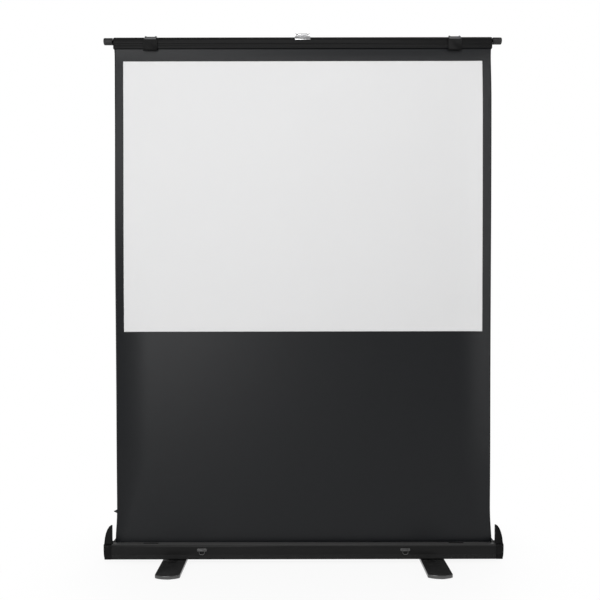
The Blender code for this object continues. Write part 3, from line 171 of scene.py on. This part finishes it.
def glossBlack():
    look = {"colour": (0.0135, 0.0135, 0.0136), "roughness": 0.21, "spread": 0.1, "shade": 0.12,
            "shine": 0.06, "drift": ((6, 30, 30), 2), "relief": ((3, 700, 700), 3), "depth": 0.00002,
            "paintedTopLight": (0.068, 0.068, 0.068)}
    made = clouded("glossBlack", look)
    # painted light: the case's deck and rounded top edge are made paler where they face up, as a painted
    # highlight
    made.paintedTopLight(look["paintedTopLight"])
    return made.material


def satinBlack():
    look = {"colour": (0.008, 0.008, 0.0082), "roughness": 0.42, "spread": 0.08, "shade": 0.1,
            "shine": 0.07, "drift": ((40, 40, 40), 3), "relief": ((900, 900, 900), 1), "depth": 0.00006}
    return clouded("satinBlack", look).material


def footBlack():
    look = {"colour": (0.022, 0.022, 0.022), "roughness": 0.18, "spread": 0.08, "shade": 0.1,
            "shine": 1.0, "drift": ((40, 40, 40), 3), "relief": ((900, 900, 900), 1), "depth": 0.00004}
    return clouded("footBlack", look).material


def armBlack():
    look = {"colour": (0.014, 0.014, 0.0145), "roughness": 0.4, "spread": 0.1, "shade": 0.15,
            "shine": 0.4, "drift": ((60, 60, 60), 3), "relief": ((1400, 1400, 1400), 1), "depth": 0.00005}
    return clouded("armBlack", look).material


def mouldedBlack():
    look = {"colour": (0.0045, 0.0045, 0.0046), "roughness": 0.38, "spread": 0.08, "shade": 0.1,
            "shine": 0.09, "drift": ((30, 30, 30), 3), "relief": ((1800, 1800, 1800), 1), "depth": 0.00008}
    return clouded("mouldedBlack", look).material


def rubberBlack():
    look = {"colour": (0.014, 0.014, 0.014), "roughness": 0.55, "spread": 0.12, "shade": 0.15,
            "shine": 0.3, "drift": ((90, 90, 90), 3), "relief": ((1500, 1500, 1500), 2), "depth": 0.0001}
    return clouded("rubberBlack", look).material


def nylonBlack():
    look = {"colour": (0.04, 0.04, 0.041), "roughness": 0.5, "spread": 0.1, "shade": 0.12,
            "drift": ((120, 120, 120), 2), "relief": ((1200, 1200, 1200), 1), "depth": 0.00006}
    return clouded("nylonBlack", look).material


def plainSteel():
    look = {"colour": (0.5, 0.5, 0.51), "roughness": 0.32, "spread": 0.14, "shade": 0.1, "metallic": 1.0,
            "drift": ((12, 300, 300), 3), "relief": ((20, 1500, 1500), 2), "depth": 0.00002}
    return clouded("plainSteel", look).material


def plainAluminium():
    look = {"colour": (0.62, 0.62, 0.63), "roughness": 0.38, "spread": 0.1, "shade": 0.06, "metallic": 1.0,
            "drift": ((4, 400, 400), 3), "relief": ((4, 1200, 1200), 2), "depth": 0.00002}
    return clouded("plainAluminium", look).material


def chrome():
    look = {"colour": (0.6, 0.6, 0.61), "roughness": 0.17, "spread": 0.08, "shade": 0.05, "metallic": 1.0,
            "drift": ((90, 90, 90), 4), "relief": ((160, 160, 160), 1), "depth": 0.00003}
    return clouded("chrome", look).material


def darkSteel():
    look = {"colour": (0.11, 0.11, 0.11), "roughness": 0.34, "spread": 0.12, "shade": 0.12, "metallic": 1.0,
            "drift": ((90, 90, 90), 4), "relief": ((400, 400, 400), 2), "depth": 0.00003}
    return clouded("darkSteel", look).material


def tabGrey():
    look = {"colour": (0.07, 0.07, 0.073), "roughness": 0.42, "spread": 0.1, "shade": 0.08,
            "drift": ((60, 60, 60), 3), "relief": ((1600, 1600, 1600), 1), "depth": 0.00006}
    return clouded("tabGrey", look).material


# woven cloth: fine mottle over broad patches, and threads crossing along X and Z
def fabricBlack():
    look = {"colour": (0.0017, 0.0024, 0.0036), "roughness": 0.38, "spread": 0.1, "shade": 0.3,
            "shine": 0.27, "fine": ((140, 140, 140), 4), "broad": ((5, 5, 3), 2), "fineShare": 0.6,
            "thread": 0.0007, "depth": 0.00008}
    made = Finish("fabricBlack", look)
    fine = made.clouds(*look["fine"]) * look["fineShare"]
    broad = made.clouds(*look["broad"]) * (1 - look["fineShare"])
    made.vary(fine + broad)
    made.bump(made.ridges("X", look["thread"]) * made.ridges("Z", look["thread"]), look["depth"])
    return made.material


def matteWhite():
    look = {"colour": (0.64, 0.64, 0.643), "roughness": 0.8, "spread": 0.1, "shade": 0.012,
            "drift": ((4, 4, 4), 3), "relief": ((900, 900, 900), 2), "depth": 0.00008}
    return clouded("matteWhite", look).material


finishes = {
    "case_black": glossBlack(), "satin_black": satinBlack(), "foot_black": footBlack(),
    "arm_black": armBlack(), "moulded_black": mouldedBlack(), "rubber_black": rubberBlack(),
    "nylon_black": nylonBlack(), "plain_steel": plainSteel(), "plain_aluminium": plainAluminium(),
    "chrome": chrome(), "dark_steel": darkSteel(), "tab_grey": tabGrey(),
    "fabric_black": fabricBlack(), "matte_white": matteWhite(),
}
print("finishes ready:", len(finishes))


# Pieces
def link(name, data):
    piece = bpy.data.objects.new(name, data)
    bpy.context.scene.collection.objects.link(piece)
    return piece


# a piece takes the finish and the body of the node it stands for
def dress(piece, node):
    piece.data.materials.clear()
    piece.data.materials.append(finishes[slotOf[node]])
    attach(piece, bodyOf[node])
    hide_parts(node)
    return piece


# edge width by a word in the node's name, where the first word that fits holds
edges = {
    "case_shell": 0.001, "end_cap_left": 0.0012, "end_cap_right": 0.0012, "top_bar": 0.0004,
    "foot_left": 0.0006, "foot_right": 0.0006, "foot_pad": 0.0008, "arm": 0.0006, "pin": 0.0005,
    "latch_tab": 0.0004, "latch_body": 0.0005, "handle_base": 0.0004, "bar_cap": 0.0006,
}
# the width of all other edges; flatAngle and sharpAngle are in degrees
easing = {"otherEdge": 0.0003, "weld": 0.00002, "flatAngle": 0.5, "sharpAngle": 32, "segments": 2}


def edgeFor(node):
    for word, width in edges.items():
        if word in node:
            return width
    return easing["otherEdge"]


# a copy of a frame node with eased edges and smooth round faces
def eased(node):
    mesh = nodes[node].data.copy()
    shape = bmesh.new()
    shape.from_mesh(mesh)
    bmesh.ops.remove_doubles(shape, verts=shape.verts, dist=easing["weld"])
    flat = radians(easing["flatAngle"])
    bmesh.ops.dissolve_limit(shape, angle_limit=flat, verts=shape.verts, edges=shape.edges)
    shape.to_mesh(mesh)
    shape.free()
    mesh.shade_smooth()
    piece = link(node + "_eased", mesh)
    bevel = piece.modifiers.new("edges", "BEVEL")
    bevel.width = edgeFor(node)
    bevel.segments = easing["segments"]
    bevel.limit_method = "ANGLE"
    bevel.angle_limit = radians(easing["sharpAngle"])
    bevel.harden_normals = True
    return dress(piece, node)


softNodes = ("screen_fabric", "viewing_surface", "fabric_roll")
for node in sorted(nodes):
    if node not in softNodes:
        eased(node)
print("rigid pieces eased")


# The taut fabric: black sheet with a white picture coat on its face, its edges cupped a little forward.
# On each side start and full are shares of the way down from the bar, tilt is the lean in radians, and
# flare the height above the deck where the lean is back. A ripple is its share of the belly and its
# radians per metre across and up.
sheet = {
    "plane": -0.010, "thickness": 0.0005, "coatLift": 0.0002, "neckPower": 8,
    "cupWidth": 0.15, "cupNarrow": 0.05, "narrowBelow": 0.55,
    "startLeft": 0.12, "fullLeft": 0.6, "tiltLeft": 0.42, "flareLeft": 0.05,
    "startRight": 0.0, "fullRight": 0.14, "tiltRight": 0.41, "flareRight": 0.02,
    "lipLean": 0.006, "lipReach": 0.055, "lipBack": 0.02, "lipRows": 14,
    "creaseHeight": 0.2265, "creaseSpan": 0.0085, "creaseReach": 0.014, "creaseWidth": 0.022,
    "belly": 0.0010, "ripples": ((1.0, 2.3, 4.1), (0.5, 5.7, -1.9)),
    "columns": 44, "edgeColumns": 26, "rows": 90, "creaseRows": 16,
    "columnDigits": 6, "rowDigits": 5, "match": 0.00001, "rollClear": 0.0015,
}
sheetLow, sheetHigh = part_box("screen_fabric")
pictureLow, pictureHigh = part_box("viewing_surface")
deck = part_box("case_shell")[1].z
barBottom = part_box("top_bar")[0].z
halfWidth = sheetHigh.x


# heights and half widths of the frame's fabric along its right edge, upward
def readSideLine():
    digits = sheet["rowDigits"]
    rightEdge = [corner.co for corner in nodes["screen_fabric"].data.vertices if corner.co.x > 0]
    return sorted({(round(place.z, digits), round(place.x, digits)) for place in rightEdge})


sideLine = readSideLine()


def smooth(low, high, value):
    share = min(max((value - low) / (high - low), 0), 1)
    return share * share * (3 - 2 * share)


# half the width of the frame's fabric at a height
def halfAt(height):
    for (low, lowHalf), (high, highHalf) in zip(sideLine, sideLine[1:]):
        if high > low and height <= high:
            return lowHalf + (highHalf - lowHalf) * max(height - low, 0) / (high - low)
    return sideLine[-1][1]


# forward lean of the cloth at its edge, in radians, and the width over which it eases in
def cupAt(side, height):
    fall = (barBottom - height) / (barBottom - deck)
    edge = "Left" if side < 0 else "Right"
    lean = sheet["tilt" + edge] * smooth(sheet["start" + edge], sheet["full" + edge], fall)
    lean *= smooth(deck, deck + sheet["flare" + edge], height)
    wide = smooth(deck, sheet["narrowBelow"], height)
    return lean, sheet["cupNarrow"] + (sheet["cupWidth"] - sheet["cupNarrow"]) * wide


# how far the small crease near the case pushes the left edge outward
def creaseAt(across, height):
    edge = max(abs(across) - halfWidth + sheet["creaseWidth"], 0) / sheet["creaseWidth"]
    offset = (height - sheet["creaseHeight"]) / sheet["creaseSpan"]
    return sheet["creaseReach"] * edge * edge * max(1 - offset * offset, 0) ** 2


# how far the cloth leans forward just under the bar
def lipAt(height):
    below = max(1 - max(barBottom - height, 0) / sheet["lipReach"], 0)
    return sheet["lipLean"] * below * below * (1 - smooth(barBottom, barBottom + sheet["lipBack"], height))


# soft ripples over the free height, none at the bar and the deck
def bellyAt(across, height):
    span = (height - deck) / (barBottom - deck)
    hung = sin(pi * min(max(span, 0), 1))
    waves = (share * cos(a * across + b * height) for share, a, b in sheet["ripples"])
    return sheet["belly"] * hung * sum(waves)


# a point of the cloth from its place on the flat sheet; the cup is an arc in its short-angle form
def clothPoint(across, height, lift):
    side = 1 if across > 0 else -1
    lean, width = cupAt(side, height)
    reach = max(abs(across) - halfWidth + width, 0)
    angle = lean * reach / width
    neck = (halfWidth - halfAt(height)) * (abs(across) / halfWidth) ** sheet["neckPower"]
    x = abs(across) - neck - reach * angle * angle / 6
    if side < 0:
        x += creaseAt(across, height)
    y = sheet["plane"] - reach * angle / 2 - lipAt(height) + bellyAt(across, height)
    return Vector((side * (x - lift * sin(angle)), y - lift * cos(angle), height))


def spread(low, high, count):
    return [low + (high - low) * step / count for step in range(count + 1)]


def within(places, low, high):
    return [place for place in places if low - sheet["match"] < place < high + sheet["match"]]


def clothMesh(name, columns, rows, lift):
    mesh = bpy.data.meshes.new(name)
    points = [clothPoint(across, height, lift) for height in rows for across in columns]
    wide = len(columns)
    starts = [row * wide + column for row in range(len(rows) - 1) for column in range(wide - 1)]
    mesh.from_pydata(points, [], [(start, start + 1, start + wide + 1, start + wide) for start in starts])
    mesh.shade_smooth()
    return mesh


# the thickness grows behind the face
def thicken(piece, thickness):
    shell = piece.modifiers.new("cloth", "SOLIDIFY")
    shell.thickness = thickness
    shell.offset = -1


# columns lie closer in the cupped edges, and rows at the crease and under the bar
def sheetGrid():
    flatHalf = halfWidth - sheet["cupWidth"]
    side = spread(flatHalf, halfWidth, sheet["edgeColumns"])[1:]
    middle = spread(-flatHalf, flatHalf, sheet["columns"]) + [pictureLow.x, pictureHigh.x]
    columns = middle + side + [-across for across in side]
    creaseLow = sheet["creaseHeight"] - sheet["creaseSpan"]
    crease = spread(creaseLow, sheet["creaseHeight"] + sheet["creaseSpan"], sheet["creaseRows"])
    lip = spread(barBottom - sheet["lipReach"], barBottom + sheet["lipBack"], sheet["lipRows"])
    rows = spread(sheetLow.z, sheetHigh.z, sheet["rows"]) + crease + lip + [pictureLow.z, pictureHigh.z]
    columns = sorted({round(across, sheet["columnDigits"]) for across in columns})
    return columns, sorted({round(height, sheet["rowDigits"]) for height in rows})


def makeFabric():
    columns, rows = sheetGrid()
    black = link("fabric_sheet", clothMesh("fabric_sheet", columns, rows, 0.0))
    thicken(black, sheet["thickness"])
    dress(black, "screen_fabric")
    columns = within(columns, pictureLow.x, pictureHigh.x)
    rows = within(rows, pictureLow.z, pictureHigh.z)
    white = link("picture_coat", clothMesh("picture_coat", columns, rows, sheet["coatLift"]))
    thicken(white, sheet["coatLift"] / 2)
    dress(white, "viewing_surface")
    return black, white


fabric, picture = makeFabric()
for cloth in (fabric, picture):
    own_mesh(cloth)
print("fabric hung")


# The few turns left on the roller, as one spiral strip
def makeRoll():
    roll = {"turns": 2, "steps": 48, "thickness": 0.00045, "clear": 0.0003}
    low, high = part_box("fabric_roll")
    tubeLow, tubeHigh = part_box("roller_tube")
    centre = (low + high) / 2
    inner = (tubeHigh - tubeLow).z / 2 + roll["clear"]
    outer = (high - low).z / 2 - roll["thickness"]
    total = roll["turns"] * roll["steps"]
    points = []
    for step, radius in enumerate(spread(inner, outer, total)):
        angle = 2 * pi * step / roll["steps"]
        for x in (low.x, high.x):
            points.append((x, centre.y + radius * cos(angle), centre.z + radius * sin(angle)))
    mesh = bpy.data.meshes.new("fabric_turns")
    mesh.from_pydata(points, [], [(i, i + 1, i + 3, i + 2) for i in range(0, 2 * total, 2)])
    mesh.shade_smooth()
    piece = link("fabric_turns", mesh)
    thicken(piece, roll["thickness"])
    return dress(piece, "fabric_roll")


makeRoll()
print("turns wound")


# Studio
plainWhite = (1, 1, 1, 1)


# the camera and gloss see the floor almost white near the screen and plain white further out
def makeFloor():
    look = {"colour": (0.93, 0.93, 0.93), "roughness": 0.7, "shine": 0.2, "radius": 30.0, "sides": 64,
            "nearFade": 0.6, "farFade": 1.3, "nearWhite": 0.9, "glow": 1.0}
    mesh = bpy.data.meshes.new("studio_floor")
    shape = bmesh.new()
    bmesh.ops.create_circle(shape, cap_ends=True, segments=look["sides"], radius=look["radius"])
    shape.to_mesh(mesh)
    shape.free()
    floor = link("studio_floor", mesh)
    made = Finish("studioFloor", look)
    place = made.node("TexCoord", output="Object")
    away = made.node("VectorMath", {"operation": "LENGTH"}, {0: place}, output="Value")
    fade = {"From Min": look["nearFade"], "From Max": look["farFade"], "To Min": look["nearWhite"]}
    whiter = made.node("MapRange", {"interpolation_type": "SMOOTHSTEP"}, {"Value": away, **fade})
    direct = made.node("LightPath", output="Is Camera Ray")
    mirrored = made.node("LightPath", output="Is Glossy Ray")
    seen = made.node("Math", {"operation": "MAXIMUM"}, {0: direct, 1: mirrored})
    glow = made.node("Emission", None, {"Color": plainWhite, "Strength": look["glow"]})
    lit = Wire(made, made.surface.outputs[0])
    mixed = made.node("MixShader", None, {0: whiter * seen, 1: lit, 2: glow})
    made.feed(made.tree.nodes["Material Output"].inputs["Surface"], mixed)
    mesh.materials.append(made.material)


# soft light from all round, and plain white where the camera sees past the floor
def makeWorld():
    look = {"ambient": 0.40, "background": 1.0}
    world = bpy.data.worlds.new("studio")
    bpy.context.scene.world = world
    world.use_nodes = True
    sky = Graph(world.node_tree)
    soft = sky.tree.nodes["Background"]
    sky.feed(soft.inputs["Color"], plainWhite)
    sky.feed(soft.inputs["Strength"], look["ambient"])
    plain = sky.node("Background", None, {"Color": plainWhite, "Strength": look["background"]})
    direct = sky.node("LightPath", output="Is Camera Ray")
    mixed = sky.node("MixShader", None, {0: direct, 1: Wire(sky, soft.outputs[0]), 2: plain})
    sky.feed(sky.tree.nodes["World Output"].inputs["Surface"], mixed)


def makeLamps():
    lamps = {
        "key_lamp": {"place": (-1.9, -4.0, 1.75), "aim": (-0.1, 0, 1.2),
                     "wide": 2.7, "tall": 2.6, "power": 82},
        "strip_lamp": {"place": (0.0, -2.4, 3.45), "aim": (-0.1, 0, 0.9),
                       "wide": 3.0, "tall": 0.8, "power": 34},
        "fill_lamp": {"place": (2.6, -2.8, 2.8), "aim": (0.3, 0, 0.5),
                      "wide": 1.8, "tall": 1.2, "power": 18},
        "rear_lamp": {"place": (1.6, 3.4, 3.2), "aim": (0, 0, 1.0),
                      "wide": 2.2, "tall": 2.2, "power": 45},
    }
    for name, look in lamps.items():
        lamp = bpy.data.lights.new(name, "AREA")
        lamp.shape = "RECTANGLE"
        lamp.size = look["wide"]
        lamp.size_y = look["tall"]
        lamp.energy = look["power"]
        holder = link(name, lamp)
        holder.location = look["place"]
        beam = Vector(look["aim"]) - holder.location
        holder.rotation_euler = beam.to_track_quat("-Z", "Y").to_euler()


# pixels is the focal length in image pixels, centreRow the row level with the camera, and roll is in degrees
def makeCamera():
    view = {"height": 1.1137, "distance": 3.41, "aside": -0.014, "pixels": 763, "frame": 600,
            "centreRow": 311, "roll": -0.1, "sensor": 36.0}
    camera = bpy.data.cameras.new("photo_camera")
    camera.sensor_width = view["sensor"]
    camera.lens = view["pixels"] / view["frame"] * view["sensor"]
    camera.shift_y = (view["centreRow"] - view["frame"] / 2) / view["frame"]
    holder = link("photo_camera", camera)
    level = Matrix.Rotation(pi / 2, 4, "X") @ Matrix.Rotation(radians(view["roll"]), 4, "Z")
    holder.matrix_world = Matrix.Translation((view["aside"], -view["distance"], view["height"])) @ level
    bpy.context.scene.camera = holder


makeFloor()
makeWorld()
makeLamps()
makeCamera()
bpy.context.scene.view_settings.view_transform = "Standard"
print("studio ready")
